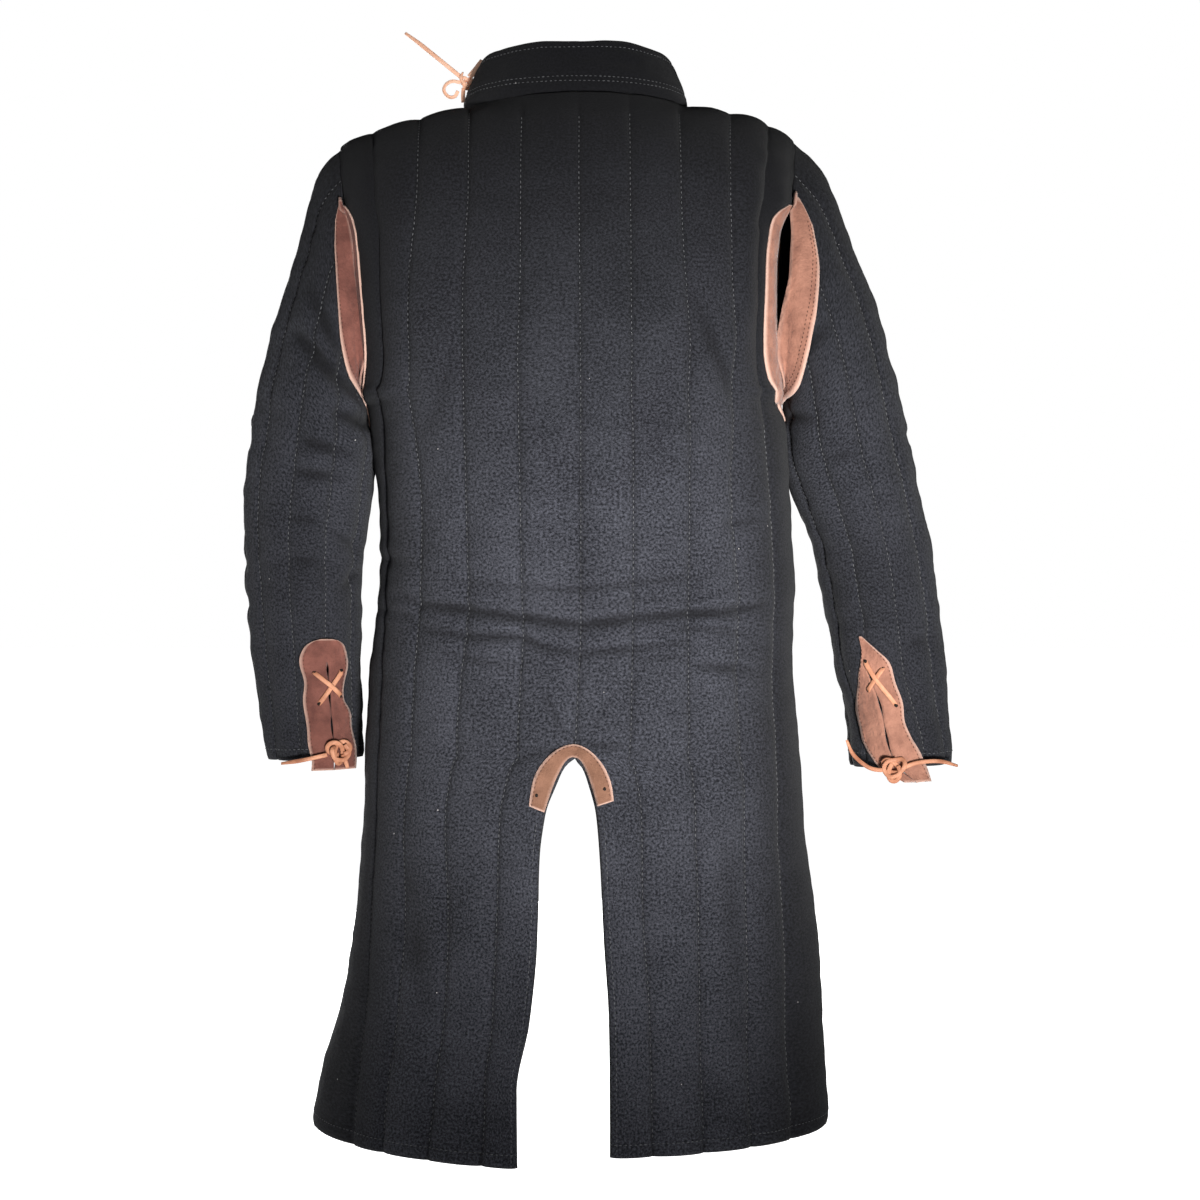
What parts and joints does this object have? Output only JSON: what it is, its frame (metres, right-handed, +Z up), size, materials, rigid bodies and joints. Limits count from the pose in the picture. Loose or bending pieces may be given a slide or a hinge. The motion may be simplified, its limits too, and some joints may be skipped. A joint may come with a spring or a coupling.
{
  "type": "gambeson",
  "caption": "Quilted padded coat, filled out as worn: stand collar, long sleeves with laced cuff slits, open leather-edged underarms and a skirt slit behind and in front",
  "frame": {"origin": "the middle of the neck, at the height where the collar meets the shoulders, which is where the wearer's shoulders carry the garment", "axes": "+Z up along the body, +X to the wearer's left, -Y the way the wearer faces; the picture looks at the back along -Y"},
  "size_m": [0.7175, 0.3249, 1.0923],
  "materials": {
    "canvas": "black plain-weave cotton canvas, quilted over padding, matt",
    "leather": "reddish-brown split leather with pale cut edges, matt",
    "lace": "orange-tan leather thong, soft sheen"
  },
  "bodies": {
    "root": {"back": "canvas", "front": "canvas", "collar": "canvas", "sleeve_left": "canvas", "sleeve_right": "canvas", "back_slit_arch": "leather", "neck_slit_trim": "leather", "underarm_body_trim_left": "leather", "underarm_body_trim_right": "leather", "underarm_sleeve_trim_left": "leather", "underarm_sleeve_trim_right": "leather", "cuff_trim_left": "leather", "cuff_trim_right": "leather", "cuff_lace_knot_left": "lace", "cuff_lace_knot_right": "lace", "cuff_lace_cross_left_a": "lace", "cuff_lace_cross_left_b": "lace", "cuff_lace_cross_right_a": "lace", "cuff_lace_cross_right_b": "lace", "cuff_lace_tail_left": "lace", "cuff_lace_tail_right_in": "lace", "cuff_lace_tail_right_out": "lace", "collar_lace_knot": "lace", "collar_lace_tail": "lace", "collar_lace_loop": "lace", "collar_lace_upper": "lace", "collar_lace_lower": "lace"}
  },
  "joints": []
}
